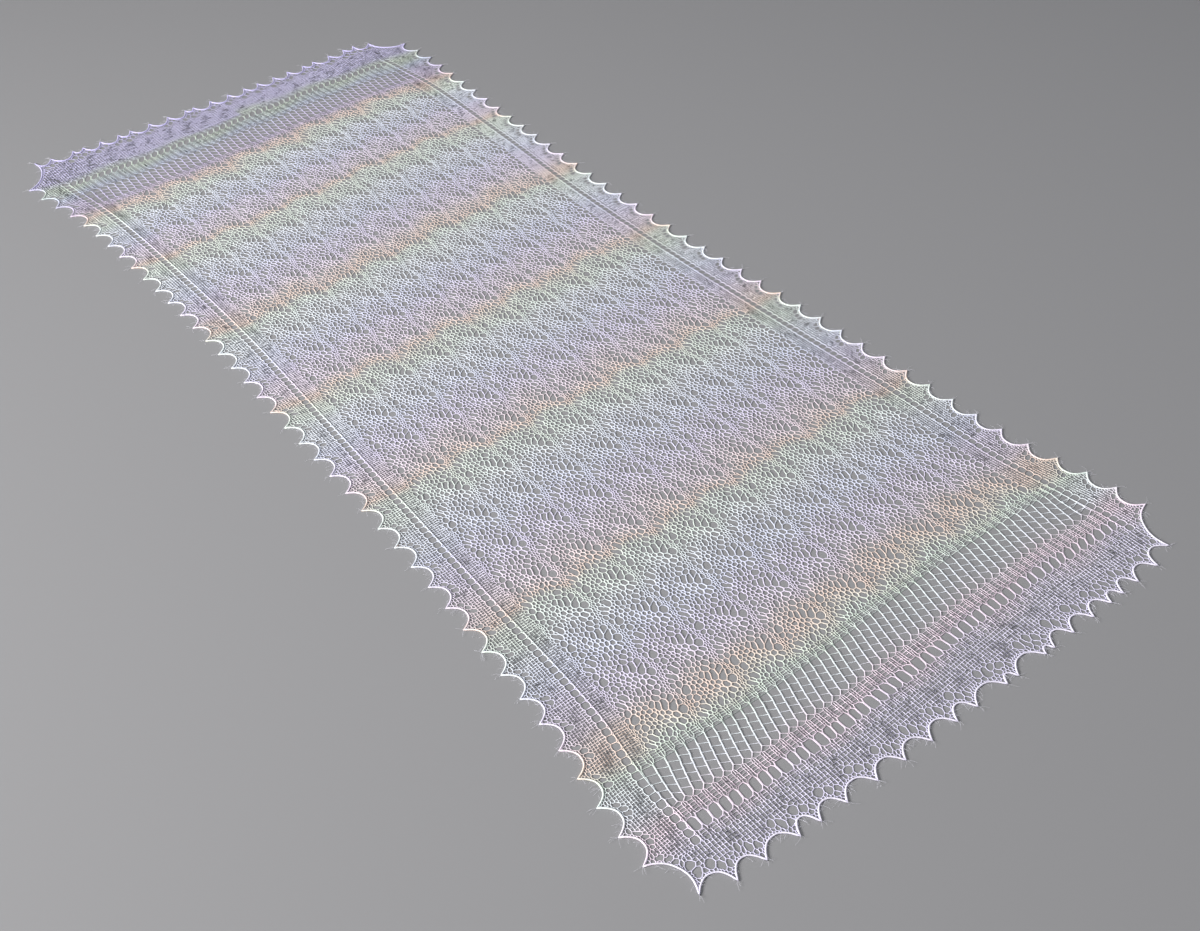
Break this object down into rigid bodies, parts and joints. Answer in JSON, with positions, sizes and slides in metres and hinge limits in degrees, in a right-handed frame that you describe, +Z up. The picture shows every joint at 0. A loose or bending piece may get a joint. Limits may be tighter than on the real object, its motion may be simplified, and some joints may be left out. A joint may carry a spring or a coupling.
{
  "type": "knitted lace stole",
  "caption": "Rectangular knitted lace stole laid flat, with a leaf-lace centre, net borders with eyelets at both ends, laddered sides and a pointed edging all round.",
  "frame": {"origin": "middle of the stole's bounding box, on the surface that it lies on", "axes": "+Y along the stole towards its far end, +X across it to the right, +Z up"},
  "size_m": [0.7064, 1.5932, 0.0015],
  "materials": {
    "centre_yarn": "soft brushed yarn in slow stripes of pale blue-white, lilac, peach and sage, with a fine halo",
    "net_yarn": "the same yarn, pale blue and pink, worked as an open net",
    "ladder_yarn": "the same yarn, worked as an open ladder",
    "edging_yarn": "the same yarn, lilac at both ends and striped along the sides"
  },
  "bodies": {
    "root": {"centre_panel": "centre_yarn", "net_border_near": "net_yarn", "net_border_far": "net_yarn", "ladder_left": "ladder_yarn", "ladder_right": "ladder_yarn", "edging_left": "edging_yarn", "edging_right": "edging_yarn", "edging_near": "edging_yarn", "edging_far": "edging_yarn"}
  },
  "joints": []
}
